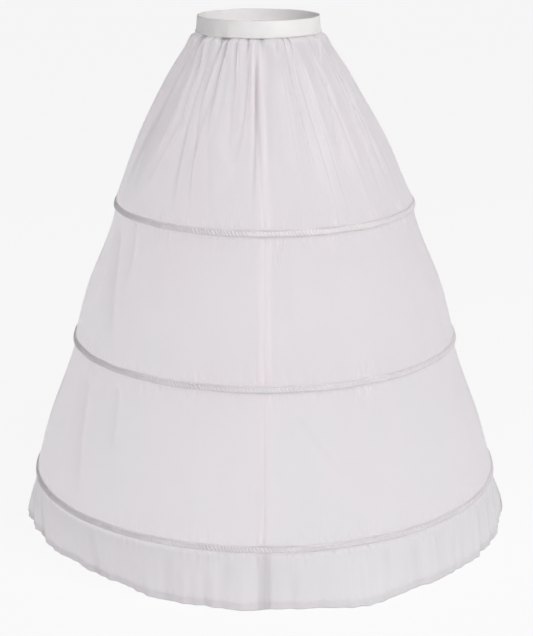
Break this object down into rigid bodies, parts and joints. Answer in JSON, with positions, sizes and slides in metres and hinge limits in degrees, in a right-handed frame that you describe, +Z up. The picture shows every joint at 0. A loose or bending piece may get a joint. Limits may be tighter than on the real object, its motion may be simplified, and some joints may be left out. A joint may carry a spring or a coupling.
{
  "type": "crinoline cage",
  "caption": "White hoop petticoat with an elastic waistband: gathered top tier, smooth flared tiers held out by level hoops in stitched casings, and a short hem flounce.",
  "frame": {"origin": "centre of the hem circle on the floor, at the bottom centre of the bounding box", "axes": "+Z up the middle of the skirt toward the waist, -Y toward the centre front, +X toward the wearer's left"},
  "size_m": [0.78, 0.78, 0.832],
  "materials": {
    "waistband": "plain woven elastic, fine cross ribs",
    "skirt_cloth": "thin plain-woven lining cloth with a soft sheen",
    "casing_tape": "smooth glossy satin tape",
    "hoop_coating": "white plastic coating over spring steel",
    "sleeve_metal": "plain crimped steel"
  },
  "bodies": {
    "root": {"waistband": "waistband", "gore_front_right": "skirt_cloth", "gore_front_left": "skirt_cloth", "gore_back_left": "skirt_cloth", "gore_back_right": "skirt_cloth", "casing_top": "casing_tape", "casing_middle": "casing_tape", "casing_bottom": "casing_tape", "hoop_top": "hoop_coating", "hoop_middle": "hoop_coating", "hoop_bottom": "hoop_coating", "sleeve_top": "sleeve_metal", "sleeve_middle": "sleeve_metal", "sleeve_bottom": "sleeve_metal"}
  },
  "joints": []
}
